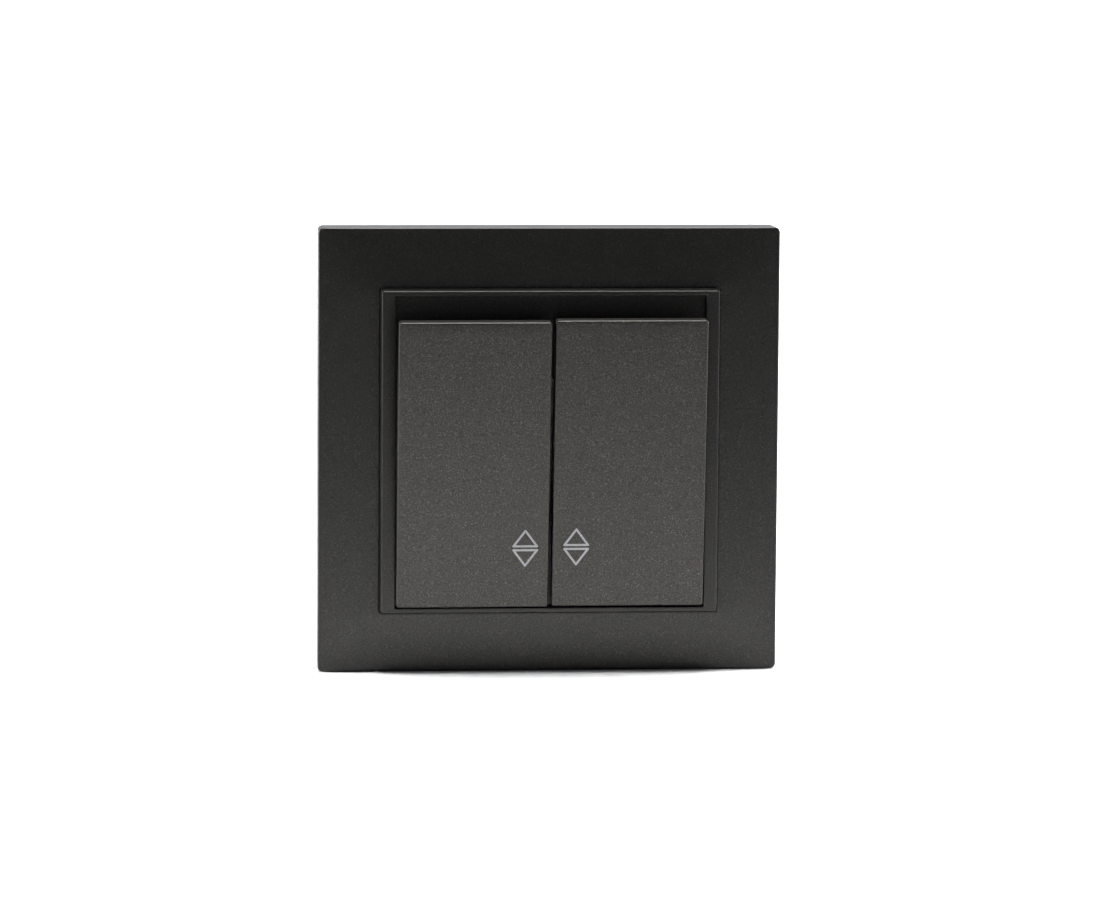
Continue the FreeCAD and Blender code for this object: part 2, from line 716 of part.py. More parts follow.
def mountingStrap():
    sheetY = ("-strapThick", "0")
    margin = "-2*frameWall-2*frameDraft-2*strapMargin"
    plate = box("StrapPlate", middle("frameWidth" + margin), sheetY,
                middle("frameHeight" + margin))
    corners = rounded("StrapCorners", plate, "strapCorner", runsDeep)
    solids = [corners]
    throughY = ("-2*strapThick", "strapThick")
    tools = [box("StrapOpening", middle("strapOpenWidth"), throughY, middle("strapOpenHeight"))]
    lugStart = "baseHeight/2+fitGap"
    for level, row in (("Upper", 1), ("Lower", -1)):
        solids.append(box("StrapLug" + level, middle("lugWidth"), ("-strapThick", "lugDrop"),
                          side(row, lugStart, lugStart + "+strapThick")))
        tools.append(box("LugWindow" + level, middle("lugWindow"),
                         ("lugWindowStart", "lugWindowEnd"),
                         side(row, "baseHeight/2", lugStart + "+2*strapThick")))
        tools.append(box("LugRelief" + level, middle("lugWidth"), throughY,
                         side(row, lugStart + "+strapThick",
                              lugStart + "+strapThick+lugWindow")))
        tools.append(boxSlot("BoxSlot" + level, row, True))
    for name, sign in gangs:
        tools.append(boxSlot("BoxSlot" + name.title(), sign, False))
        for level, row in (("Upper", 1), ("Lower", -1)):
            tools.append(box("LegSlot" + name.title() + level,
                             side(sign, ringInner + "/2-ringGap",
                                  ringInner + "/2+ringWall+ringGap"),
                             throughY, middle("legWidth+2*ringGap", signed(row, "legOffset"))))
    placed(cut("MountingStrap", fuse("StrapSolid", solids), tools), "mounting_strap")


# Assembly
coverFrame()
trimRing()
mountingStrap()
mechanismCover()
housingBase()
terminalScrews()
wireClamps()
for gangName, gangSign in gangs:
    rocker(gangName, gangSign)
    mark(gangName, gangSign)
    cradle(gangName, gangSign)
    plunger(gangName, gangSign)
    spring(gangName, gangSign)
    blade(gangName, gangSign)
    movingContacts(gangName, gangSign)
    fixedContacts(gangName, gangSign)
    common(gangName, gangSign)
    for levelName, levelSign in (("upper", 1), ("lower", -1)):
        traveller(gangName, gangSign, levelName, levelSign)
doc.recompute()

for item in doc.Objects:
    if "Invalid" in item.State or "Error" in item.State:
        raise RuntimeError("%s failed: %s" % (item.Name, item.State))
for piece in subparts:
    if piece.Shape.isNull() or not piece.Shape.isValid():
        raise RuntimeError("%s has no valid shape" % piece.Label)
    piece.Shape.exportStep("parts/%s.step" % piece.Label)
    print("%-28s %2d solids %10.2f mm3" % (piece.Label, len(piece.Shape.Solids),
                                          piece.Shape.Volume))
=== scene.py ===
import json
import math

import bpy
import numpy as np
from mathutils import Matrix, Vector


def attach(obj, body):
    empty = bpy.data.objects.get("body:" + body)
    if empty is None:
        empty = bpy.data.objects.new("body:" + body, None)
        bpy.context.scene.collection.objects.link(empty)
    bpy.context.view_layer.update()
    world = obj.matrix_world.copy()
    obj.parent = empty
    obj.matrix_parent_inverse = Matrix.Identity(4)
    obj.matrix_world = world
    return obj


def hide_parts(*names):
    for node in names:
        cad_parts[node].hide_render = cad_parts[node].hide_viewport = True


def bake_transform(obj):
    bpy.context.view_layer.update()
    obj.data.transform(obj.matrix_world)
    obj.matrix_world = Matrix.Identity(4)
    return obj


# Looks of a flush double rocker switch: x to the right, y into the wall, z up, the wall
# surface at y = 0. Sizes of the pieces are millimetres and angles are degrees; materials and
# lamps are in metres.

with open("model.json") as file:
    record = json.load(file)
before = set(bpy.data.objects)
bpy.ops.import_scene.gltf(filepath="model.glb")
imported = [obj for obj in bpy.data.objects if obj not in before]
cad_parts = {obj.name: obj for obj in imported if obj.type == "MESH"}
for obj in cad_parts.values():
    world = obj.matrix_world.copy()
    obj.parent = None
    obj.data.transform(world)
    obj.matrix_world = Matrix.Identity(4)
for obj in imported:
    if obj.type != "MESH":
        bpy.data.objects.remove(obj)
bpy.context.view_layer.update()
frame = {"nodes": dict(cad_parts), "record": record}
nodes = frame["nodes"]
print("frame loaded, %d nodes" % len(nodes))

millimetre = 0.001
smallestCorner = 0.02                       # millimetres, radius of a loop's corner


def addMesh(name, points, faces, material, body, smoothAngle=32.0):
    # puts points in millimetres and faces into a mesh whose object stays at the origin;
    # it rides on the body, or is left loose where body is None
    mesh = bpy.data.meshes.new(name)
    mesh.from_pydata((np.asarray(points) * millimetre).tolist(), [], faces)
    mesh.polygons.foreach_set("use_smooth", [True] * len(mesh.polygons))
    mesh.update()
    mesh.set_sharp_from_angle(angle=math.radians(smoothAngle))
    mesh.materials.append(material)
    piece = bpy.data.objects.new(name, mesh)
    bpy.context.collection.objects.link(piece)
    if body is not None:
        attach(piece, body)
    return piece


def gridFaces(rows, columns, closeRows=False):
    # quads between neighbouring rows of a grid whose columns run round a closed loop:
    # corner (i, j) is point i * columns + j
    i, j = np.meshgrid(np.arange(rows if closeRows else rows - 1), np.arange(columns),
                       indexing="ij")
    below, beside = (i + 1) % rows, (j + 1) % columns
    quads = np.stack([i * columns + j, i * columns + beside,
                      below * columns + beside, below * columns + j], axis=-1)
    return quads.reshape(-1, 4).tolist()


def endCaps(rows, columns):
    # one face over the first loop and one over the last, both facing outward
    last = (rows - 1) * columns
    return [list(range(columns - 1, -1, -1)), list(range(last, last + columns))]


def roundedLoop(halfX, halfZ, radius, sidePoints=26, cornerPoints=9):
    # a rectangle with round corners as a closed loop of points: four quarter turns of
    # centre (+-(halfX - radius), +-(halfZ - radius)), joined by straight runs whose
    # points gather towards the corners as (1 - cos(pi t)) / 2
    radius = np.asarray(radius, float)[..., None]
    halfX, halfZ = np.asarray(halfX, float)[..., None], np.asarray(halfZ, float)[..., None]
    signs = ((1, 1), (-1, 1), (-1, -1), (1, -1))
    turn = np.linspace(0.0, np.pi / 2, cornerPoints)
    along = (1 - np.cos(np.pi * np.linspace(0, 1, sidePoints + 2)[1:-1])) / 2

    def onCorner(quarter, angle):
        signX, signZ = signs[quarter % 4]
        return (signX * (halfX - radius) + radius * np.cos(angle),
                signZ * (halfZ - radius) + radius * np.sin(angle))

    xs, zs = [], []
    for quarter in range(4):
        lastAngle = (quarter + 1) * np.pi / 2
        arcX, arcZ = onCorner(quarter, turn + quarter * np.pi / 2)
        startX, startZ = onCorner(quarter, lastAngle)
        endX, endZ = onCorner(quarter + 1, lastAngle)
        xs += [arcX, startX + (endX - startX) * along]
        zs += [arcZ, startZ + (endZ - startZ) * along]
    return np.concatenate(xs, axis=-1), np.concatenate(zs, axis=-1)


def sweptRows(rows, lift=None):
    # a profile carried round rounded rectangles: row k of (halfX, halfZ, radius, y, share)
    # is one loop, whose y grows by share * lift(x, z)
    table = np.array(rows, float)
    x, z = roundedLoop(table[:, 0], table[:, 1], table[:, 2])
    y = np.broadcast_to(table[:, 3, None], x.shape).copy()
    if lift is not None:
        y += table[:, 4, None] * lift(x, z)
    return np.stack([x, y, z], axis=-1)


def edgeRows(halfX, halfZ, corner, y, edge, steps, lifted=0):
    # a quarter round between a front face and a side wall: half sizes grow by
    # edge * sin(t) and depth by edge * (1 - cos(t)), from the face to the wall
    turn = np.linspace(0, np.pi / 2, steps)
    grow, sink = edge * np.sin(turn), edge * (1 - np.cos(turn))
    return [(halfX - edge + g, halfZ - edge + g, max(corner - edge + g, smallestCorner),
             y + s, lifted) for g, s in zip(grow, sink)]


def innerEdgeRows(halfX, halfZ, corner, y, edge, steps, lifted=0):
    # a quarter round between a well's wall and the face round it, from the wall to the
    # face: half sizes grow by edge * (1 - sin(t)) and depth by edge * (1 - cos(t))
    turn = np.linspace(np.pi / 2, 0, steps)
    return [(halfX + edge * (1 - math.sin(t)), halfZ + edge * (1 - math.sin(t)),
             corner + edge * (1 - math.sin(t)), y + edge * (1 - math.cos(t)), lifted)
            for t in turn]


def withBlocks(points, faces, blocks):
    # adds blocks to a mesh: each is low + (0 or 1 on each axis) * (high - low)
    corners = np.array([[i, j, k] for i in (0, 1) for j in (0, 1) for k in (0, 1)], float)
    sides = np.array([[0, 1, 3, 2], [4, 6, 7, 5], [0, 4, 5, 1],
                      [2, 3, 7, 6], [0, 2, 6, 4], [1, 5, 7, 3]])
    faces = list(faces)
    for low, high in blocks:
        faces += (sides + len(points)).tolist()
        points = np.concatenate([points, np.asarray(low) + corners * np.subtract(high, low)])
    return points, faces


def tilted(points, degrees, depth):
    # turns points about the x axis through (0, depth): y' = y cos - z sin, z' = y sin + z cos
    c, s = math.cos(math.radians(degrees)), math.sin(math.radians(degrees))
    y, z = points[..., 1], points[..., 2]
    return np.stack([points[..., 0], y * c - z * s + depth, y * s + z * c], axis=-1)


def newMaterial(name):
    # a material with its node tree and its surface shader
    material = bpy.data.materials.new(name)
    material.use_nodes = True
    tree = material.node_tree
    return material, tree, tree.nodes["Principled BSDF"]


def noiseOn(tree, scale, detail, roughness=0.5, stretch=(1, 1, 1)):
    # noise that reads object coordinates in metres; scale is features per metre
    place = tree.nodes.new("ShaderNodeTexCoord")
    mapping = tree.nodes.new("ShaderNodeMapping")
    mapping.inputs["Scale"].default_value = stretch
    noise = tree.nodes.new("ShaderNodeTexNoise")
    noise.inputs["Scale"].default_value = scale
    noise.inputs["Detail"].default_value = detail
    noise.inputs["Roughness"].default_value = roughness
    tree.links.new(place.outputs["Object"], mapping.inputs["Vector"])
    tree.links.new(mapping.outputs["Vector"], noise.inputs["Vector"])
    return noise.outputs["Fac"]


def ramp(tree, source, stops):
    # a colour ramp over a value: stops are (place, colour)
    node = tree.nodes.new("ShaderNodeValToRGB")
    elements = node.color_ramp.elements
    elements[0].position, elements[0].color = stops[0][0], (*stops[0][1], 1)
    elements[1].position, elements[1].color = stops[-1][0], (*stops[-1][1], 1)
    for position, colour in stops[1:-1]:
        element = elements.new(position)
        element.color = (*colour, 1)
    tree.links.new(source, node.inputs["Fac"])
    return node.outputs["Color"]


def mixed(tree, factor, first, second, blend="MIX"):
    # first + (second - first) * factor, or with MULTIPLY first * second by that factor
    node = tree.nodes.new("ShaderNodeMix")
    node.data_type = "RGBA"
    node.blend_type = blend
    node.inputs["Factor"].default_value = factor
    tree.links.new(first, node.inputs["A"])
    tree.links.new(second, node.inputs["B"])
    return node.outputs["Result"]


def ranged(tree, source, low, high):
    # low + source * (high - low)
    node = tree.nodes.new("ShaderNodeMapRange")
    node.inputs["To Min"].default_value = low
    node.inputs["To Max"].default_value = high
    tree.links.new(source, node.inputs["Value"])
    return node.outputs["Result"]


def bumped(tree, shader, height, distance):
    # leans the normal as if the surface stood height * distance proud
    node = tree.nodes.new("ShaderNodeBump")
    node.inputs["Distance"].default_value = distance
    tree.links.new(height, node.inputs["Height"])
    tree.links.new(node.outputs["Normal"], shader.inputs["Normal"])


lacquerLook = {
    "frame": {"dark": (0.012, 0.0116, 0.0112), "body": (0.027, 0.0260, 0.0246),
              "fleck": (0.064, 0.059, 0.052), "fleckShare": 0.60},
    "key": {"dark": (0.011, 0.0104, 0.0092), "body": (0.037, 0.0346, 0.0306),
            "fleck": (0.094, 0.085, 0.070), "fleckShare": 0.59},
    "fleckScale": 4200.0, "fleckDetail": 3.0, "fleckRoughness": 0.62,
    "darkEnd": 0.30, "fleckStep": 0.12, "fleckEnd": 0.85,
    "toneScale": 160.0, "toneDetail": 2.0, "toneEnds": (0.30, 0.70), "toneLow": 0.93,
    "roughness": (0.30, 0.40), "metallic": 0.60, "grain": 0.000006,
}


def satinLacquer(name, tones):
    # dark lacquer whose fine flecks are the peaks of a small noise, over a slow change of tone
    look = lacquerLook
    material, tree, shader = newMaterial(name)
    fine = noiseOn(tree, look["fleckScale"], look["fleckDetail"], look["fleckRoughness"])
    slow = noiseOn(tree, look["toneScale"], look["toneDetail"])
    share = tones["fleckShare"]
    base = ramp(tree, fine, [(look["darkEnd"], tones["dark"]), (share, tones["body"]),
                             (share + look["fleckStep"], tones["fleck"]),
                             (look["fleckEnd"], tones["fleck"])])
    toneStart, toneEnd = look["toneEnds"]
    tone = ramp(tree, slow, [(toneStart, (look["toneLow"],) * 3), (toneEnd, (1.0, 1.0, 1.0))])
    tree.links.new(mixed(tree, 1.0, base, tone, "MULTIPLY"), shader.inputs["Base Color"])
    tree.links.new(ranged(tree, fine, *look["roughness"]), shader.inputs["Roughness"])
    shader.inputs["Metallic"].default_value = look["metallic"]
    bumped(tree, shader, fine, look["grain"])
    return material


plasticLook = {
    "white": {"dark": (0.36, 0.36, 0.345), "light": (0.41, 0.41, 0.395), "roughness": 0.42},
    "grey": {"dark": (0.19, 0.19, 0.183), "light": (0.22, 0.22, 0.213), "roughness": 0.48},
    "toneScale": 90.0, "toneDetail": 3.0, "toneEnds": (0.3, 0.7),
    "grainScale": 1400.0, "grainDetail": 2.0, "roughnessSpread": 0.05, "grain": 0.000012,
}


def plastic(name, tones):
    # moulded plastic: a slow change of tone, a fine spark-eroded grain
    look = plasticLook
    material, tree, shader = newMaterial(name)
    slow = noiseOn(tree, look["toneScale"], look["toneDetail"])
    fine = noiseOn(tree, look["grainScale"], look["grainDetail"])
    toneStart, toneEnd = look["toneEnds"]
    tree.links.new(ramp(tree, slow, [(toneStart, tones["dark"]), (toneEnd, tones["light"])]),
                   shader.inputs["Base Color"])
    tree.links.new(ranged(tree, fine, tones["roughness"] - look["roughnessSpread"],
                          tones["roughness"] + look["roughnessSpread"]),
                   shader.inputs["Roughness"])
    bumped(tree, shader, fine, look["grain"])
    return material


metalLook = {
    "zinc": {"dark": (0.22, 0.225, 0.24), "light": (0.31, 0.315, 0.33), "roughness": 0.36,
             "stretch": (12, 1, 1)},
    "plated": {"dark": (0.29, 0.28, 0.25), "light": (0.37, 0.36, 0.33), "roughness": 0.30,
               "stretch": (1, 1, 1)},
    "spring": {"dark": (0.36, 0.36, 0.38), "light": (0.52, 0.52, 0.54), "roughness": 0.28,
               "stretch": (1, 1, 1)},
    "brass": {"dark": (0.60, 0.44, 0.18), "light": (0.76, 0.60, 0.30), "roughness": 0.30,
              "stretch": (1, 1, 10)},
    "silver": {"dark": (0.70, 0.70, 0.68), "light": (0.84, 0.84, 0.82), "roughness": 0.24,
               "stretch": (1, 1, 1)},
    "streakScale": 700.0, "streakDetail": 4.0, "streakRoughness": 0.6, "streakEnds": (0.3, 0.7),
    "stainScale": 120.0, "stainDetail": 3.0, "stainEnds": (0.35, 0.65), "stainShare": 0.35,
    "smoother": 0.07, "rougher": 0.09, "grain": 0.000004,
}


def metal(name, tones):
    # bare or plated metal: rolled or drawn streaks as noise stretched along one axis
    look = metalLook
    material, tree, shader = newMaterial(name)
    streaks = noiseOn(tree, look["streakScale"], look["streakDetail"], look["streakRoughness"],
                      tones["stretch"])
    stains = noiseOn(tree, look["stainScale"], look["stainDetail"])
    layers = [ramp(tree, source, [(start, tones["dark"]), (end, tones["light"])])
              for source, (start, end) in ((streaks, look["streakEnds"]),
                                           (stains, look["stainEnds"]))]
    tree.links.new(mixed(tree, look["stainShare"], *layers), shader.inputs["Base Color"])
    tree.links.new(ranged(tree, stains, tones["roughness"] - look["smoother"],
                          tones["roughness"] + look["rougher"]), shader.inputs["Roughness"])
    shader.inputs["Metallic"].default_value = 1.0
    bumped(tree, shader, streaks, look["grain"])
    return material


inkLook = {
    "thin": (0.232, 0.234, 0.240), "full": (0.288, 0.291, 0.298), "ends": (0.25, 0.6),
    "scale": 2600.0, "detail": 2.0, "roughness": (0.5, 0.65),
}


def printedInk(name):
    # thin silver-grey ink with slightly uneven cover
    look = inkLook
    material, tree, shader = newMaterial(name)
    cover = noiseOn(tree, look["scale"], look["detail"])
    start, end = look["ends"]
    tree.links.new(ramp(tree, cover, [(start, look["thin"]), (end, look["full"])]),
                   shader.inputs["Base Color"])
    tree.links.new(ranged(tree, cover, *look["roughness"]), shader.inputs["Roughness"])
    return material


frameLacquer = satinLacquer("frameLacquer", lacquerLook["frame"])
keyLacquer = satinLacquer("keyLacquer", lacquerLook["key"])
springWire = metal("springWire", metalLook["spring"])

finishes = {
    "anthracite_frame": frameLacquer,
    "anthracite_key": keyLacquer,
    "silver_print": printedInk("silverInk"),
    "white_plastic": plastic("whitePlastic", plasticLook["white"]),
    "grey_plastic": plastic("greyPlastic", plasticLook["grey"]),
    "zinc_steel": metal("zincSteel", metalLook["zinc"]),
    "plated_screws": metal("platedSteel", metalLook["plated"]),
    "spring_steel": springWire,
    "brass": metal("brassStrip", metalLook["brass"]),
    "silver_contact": metal("silverRivet", metalLook["silver"]),
}
for part in frame["record"]["subparts"]:
    node = nodes[part["node"]]
    node.data.materials.clear()
    node.data.materials.append(finishes[part["material_slot"]])


coverSize = {
    "halfX": 41.5, "halfZ": 40.1,           # outline at the front edge
    "depth": 8.0, "rise": 1.2,              # side depth and dome height
    "domeSlope": 0.45,                      # share of the dome that falls evenly
    "draft": 0.2, "corner": 1.0, "edge": 0.35,
    "wall": 2.0, "wallCorner": 0.4, "skin": 1.8,
    "openX": 29.05, "openZ": 29.15, "openCorner": 0.3,      # opening round the ring's wall
    "recessX": 30.69, "recessZ": 29.44, "recessY": -8.2, "recessLean": 0.11,
    "recessCorner": 0.45, "mouthCorner": 0.5, "mouthEdge": 0.06,
    "backStand": 0.02, "backChamfer": 0.15, "backChamferY": -0.2, "backCornerLoss": 0.1,
    "collar": 2.0, "collarEnd": -1.05, "collarCorner": 0.6,
    "faceRows": 26, "mouthSteps": 4, "edgeSteps": 7,
}


def coverDome(x, z):
    # height of the face above its outer edge: rise * g(x) * g(z), where g is 1 beside the
    # opening and falls to 0 at the outline as 1 - slope t - (1 - slope) t^2
    c = coverSize

    def fall(value, inner, outer):
        t = np.clip((np.abs(value) - inner) / (outer - inner), 0, 1)
        return 1 - c["domeSlope"] * t - (1 - c["domeSlope"]) * t * t

    return -c["rise"] * fall(x, c["recessX"], c["halfX"]) * fall(z, c["recessZ"], c["halfZ"])


def makeCover():
    # one closed profile, from the collar's end through the opening, over the domed face,
    # round the outer edge and back under the face
    c = coverSize
    face, under = -c["depth"], c["skin"] - c["depth"]
    backX, backZ = c["halfX"] - c["draft"], c["halfZ"] - c["draft"]
    mouthX, mouthZ = c["recessX"] - c["recessLean"], c["recessZ"] - c["recessLean"]
    startX, startZ = mouthX + c["mouthEdge"], mouthZ + c["mouthEdge"]
    startCorner = c["mouthCorner"] + c["mouthEdge"]
    rows = [(c["openX"], c["openZ"], c["openCorner"], c["collarEnd"], 0),
            (c["openX"], c["openZ"], c["openCorner"], c["recessY"], 0),
            (c["recessX"], c["recessZ"], c["recessCorner"], c["recessY"], 0)]
    rows += innerEdgeRows(mouthX, mouthZ, c["mouthCorner"], face, c["mouthEdge"],
                          c["mouthSteps"], 1)
    for t in np.linspace(0, 1, c["faceRows"])[1:]:
        rows.append((startX + t * (c["halfX"] - c["edge"] - startX),
                     startZ + t * (c["halfZ"] - c["edge"] - startZ),
                     startCorner + t * (c["corner"] - c["edge"] - startCorner), face, 1))
    rows += edgeRows(c["halfX"], c["halfZ"], c["corner"], face, c["edge"], c["edgeSteps"],
                     1)[1:]
    rows += [(backX + c["backStand"], backZ + c["backStand"], c["corner"],
              c["backChamferY"], 0),
             (backX - c["backChamfer"], backZ - c["backChamfer"],
              c["corner"] - c["backCornerLoss"], 0.0, 0),
             (backX - c["wall"], backZ - c["wall"], c["wallCorner"], 0.0, 0),
             (backX - c["wall"], backZ - c["wall"], c["wallCorner"], under, 0)]
    rows += [(c["openX"] + c["collar"], c["openZ"] + c["collar"], c["collarCorner"], y, 0)
             for y in (under, c["collarEnd"])]
    points = sweptRows(rows, coverDome)
    faces = gridFaces(points.shape[0], points.shape[1], closeRows=True)
    cover = addMesh("coverShell", points.reshape(-1, 3), faces, frameLacquer, "root")
    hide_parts("cover_frame")


makeCover()
print("cover frame made")


ringSize = {
    "halfX": 30.25, "halfZ": 29.0,          # outline at the front
    "front": -11.45, "shoulder": -8.25, "draft": 0.4,
    "corner": 0.4, "shoulderCorner": 0.5, "edge": 0.20, "innerEdge": 0.08,
    "trayX": 27.9, "trayZ": 28.2, "slope": 0.25, "tray": 2.35, "floor": 1.2,
    "trayCorner": 0.3, "floorCorner": 0.4,
    "wall": 1.0, "wallX": 28.9, "wallStep": 0.01, "wallCorner": 0.4, "back": -2.05,
    "hollowCorner": 0.3,
    "windowX": 20.0, "windowZ": 13.0, "windowCorner": 0.5,
    "legNear": 27.9, "legFar": 28.9, "legOffset": 5.75, "legWidth": 4.5, "legRoot": 0.6,
    "legEnd": 1.5, "hook": 0.4, "hookStart": 0.1,
    "floorRows": 6, "innerSteps": 5, "edgeSteps": 7,
}


def makeRing():
    # one closed profile: window, tray floor, leaning end walls, rim, outer wall with its
    # draft, shoulder, box wall and the hollow behind the tray; then four hooked clip legs
    r = ringSize
    trayFloor = r["front"] + r["tray"]
    floorBack = trayFloor + r["floor"]
    footZ = r["trayZ"] - r["slope"]
    wallZ = r["halfZ"] - r["wallStep"]
    hollowX, hollowZ = r["wallX"] - r["wall"], r["halfZ"] - r["wall"]
    rows = [(r["windowX"], r["windowZ"], r["windowCorner"], floorBack, 0),
            (r["windowX"], r["windowZ"], r["windowCorner"], trayFloor, 0)]
    for t in np.linspace(0, 1, r["floorRows"])[1:]:
        rows.append((r["windowX"] + t * (r["trayX"] - r["windowX"]),
                     r["windowZ"] + t * (footZ - r["windowZ"]),
                     r["floorCorner"] + t * (r["trayCorner"] - r["floorCorner"]), trayFloor, 0))
    rows += innerEdgeRows(r["trayX"], r["trayZ"], r["trayCorner"], r["front"], r["innerEdge"],
                          r["innerSteps"])
    rows += edgeRows(r["halfX"], r["halfZ"], r["corner"], r["front"], r["edge"], r["edgeSteps"])
    rows += [(r["halfX"] + r["draft"], r["halfZ"] + r["draft"], r["shoulderCorner"],
              r["shoulder"], 0),
             (r["wallX"], wallZ, r["wallCorner"], r["shoulder"], 0),
             (r["wallX"], wallZ, r["wallCorner"], r["back"], 0),
             (hollowX, hollowZ, r["hollowCorner"], r["back"], 0),
             (hollowX, hollowZ, r["hollowCorner"], floorBack, 0)]
    points = sweptRows(rows)
    faces = gridFaces(points.shape[0], points.shape[1], closeRows=True)
    blocks = []
    for sideX in (-1, 1):
        for sideZ in (-1, 1):
            for reach, start in ((r["legFar"], r["back"] - r["legRoot"]),
                                 (r["legFar"] + r["hook"], r["hookStart"])):
                xs = sorted((sideX * r["legNear"], sideX * reach))
                zs = [sideZ * r["legOffset"] + half * r["legWidth"] / 2 for half in (-1, 1)]
                blocks.append(((xs[0], start, zs[0]), (xs[1], r["legEnd"], zs[1])))
    points, faces = withBlocks(points.reshape(-1, 3), faces, blocks)
    ring = addMesh("trimSurround", points, faces, frameLacquer, "root")
    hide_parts("trim_ring")


makeRing()
print("trim ring made")


keySize = {
    "halfX": 13.6375, "halfZ": 26.15, "gap": 0.65,
    "face": -17.55, "plate": 1.8, "wall": 1.4, "innerCorner": 0.3,
    "skirt": 2.6, "skirtEnd": 0.4, "rim": 0.1, "bellyAngle": 6.5,
    "corner": 0.45, "edge": 0.28, "draft": 0.05,
    "middle": 0.05, "middleCorner": 0.03,   # smallest loop in the middle of a face
    "pivot": 2.5,
    "tilt": {"left": 6.5, "right": 5.7},
    "clip": {"centre": 10.95, "halfX": 6.0, "near": 12.05, "thick": 1.2, "reach": 2.2,
             "root": 0.2, "barb": 0.35, "barbLap": 0.05, "barbFrom": 1.55},
    "faceRows": 8, "edgeSteps": 8,
}


def makeKey(side, sign):
    # a cap made of loops that grow from the middle of the face, turn over the edge, run
    # down the skirt and come back inside. The skirt's depth is skirt + (halfZ - |z|) *
    # tan(bellyAngle), so each half lies flat in the tray when pressed
    k = keySize
    face, back, inside = k["face"], k["face"] + k["skirt"], k["face"] + k["plate"]
    grow = k["halfX"] - k["edge"] - k["middle"]
    rows = [(k["middle"] + t * grow, k["halfZ"] - k["halfX"] + k["middle"] + t * grow,
             k["middleCorner"] + t * (k["corner"] - k["edge"] - k["middleCorner"]), face, 0)
            for t in np.linspace(0, 1, k["faceRows"])[:-1]]
    rows += edgeRows(k["halfX"], k["halfZ"], k["corner"], face, k["edge"], k["edgeSteps"])
    for share in (0.25, 0.5, 0.75):
        rows.append((k["halfX"] - share * k["draft"], k["halfZ"] - share * k["draft"],
                     k["corner"], face + k["edge"] + share * (k["skirt"] - k["skirtEnd"]),
                     share))
    skirtX, skirtZ = k["halfX"] - k["draft"], k["halfZ"] - k["draft"]
    innerX, innerZ = k["halfX"] - k["wall"], k["halfZ"] - k["wall"]
    rows += [(skirtX, skirtZ, k["corner"], back - k["rim"], 1),
             (skirtX - k["rim"], skirtZ - k["rim"], k["corner"], back, 1),
             (innerX, innerZ, k["innerCorner"], back, 1),
             (innerX, innerZ, k["innerCorner"], inside, 0),
             (k["middle"], innerZ - innerX + k["middle"], k["middleCorner"], inside, 0)]
    lean = math.tan(math.radians(k["bellyAngle"]))
    points = sweptRows(rows, lambda x, z: np.maximum(k["halfZ"] - np.abs(z), 0) * lean)
    loops, columns = points.shape[:2]
    faces = gridFaces(loops, columns) + endCaps(loops, columns)
    points = points.reshape(-1, 3)
    points[:, 0] += sign * (k["gap"] / 2 + k["halfX"])
    clip = k["clip"]
    centre, far = sign * clip["centre"], clip["near"] + clip["thick"]
    blocks = []
    for row in (-1, 1):
        for nearer, start in ((0.0, inside - clip["root"]),
                              (clip["barb"] + clip["barbLap"], inside + clip["barbFrom"])):
            zs = sorted((row * (clip["near"] - nearer), row * far))
            blocks.append(((centre - clip["halfX"], start, zs[0]),
                           (centre + clip["halfX"], inside + clip["reach"], zs[1])))
    points, faces = withBlocks(points, faces, blocks)
    points = tilted(points, k["tilt"][side], k["pivot"])
    key = addMesh("keyCap." + side, points, faces, keyLacquer, "rocker_" + side)
    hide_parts("rocker_" + side)


makeKey("left", -1)
makeKey("right", 1)
print("keys made")


coilSize = {
    "centre": 10.95, "radius": 1.55, "wire": 0.19, "start": 1.0, "end": 3.53,
    "turns": 3.5, "alongWire": 150, "roundWire": 10, "smoothAngle": 60.0,
}


def makeCoil(side, sign):
    # a wire of radius w along the helix (R cos a, start + h(a), R sin a); the wire's circle
    # stands in the plane of the outward direction and the y axis
    c = coilSize
    a = np.linspace(0, 2 * np.pi * c["turns"], c["alongWire"])[:, None]
    climb = c["start"] + (c["end"] - c["start"]) * a / a[-1]
    b = np.linspace(0, 2 * np.pi, c["roundWire"], endpoint=False)[None, :]
    reach = c["radius"] + c["wire"] * np.cos(b)
    points = np.stack([reach * np.cos(a), climb + c["wire"] * np.sin(b),
                       reach * np.sin(a)], axis=-1)
    rows, columns = points.shape[:2]
    faces = gridFaces(rows, columns) + endCaps(rows, columns)
    points = points.reshape(-1, 3)
    points[:, 0] += sign * c["centre"]
    points = tilted(points, keySize["tilt"][side], keySize["pivot"])
    coil = addMesh("coil." + side, points, faces, springWire, None, c["smoothAngle"])
    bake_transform(coil)
    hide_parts("spring_" + side)


makeCoil("left", -1)
makeCoil("right", 1)
print("springs made")


cameraView = {
    "place": (-100.1, -1100.0, 138.5),      # millimetres
    "yaw": 5.25, "pitch": -7.20, "roll": 0.40,
    "focal": 6151.1, "imageWidth": 1100,    # pixels
    "sensor": 36.0,                         # millimetres
    "clipEnd": 50.0,                        # metres
}


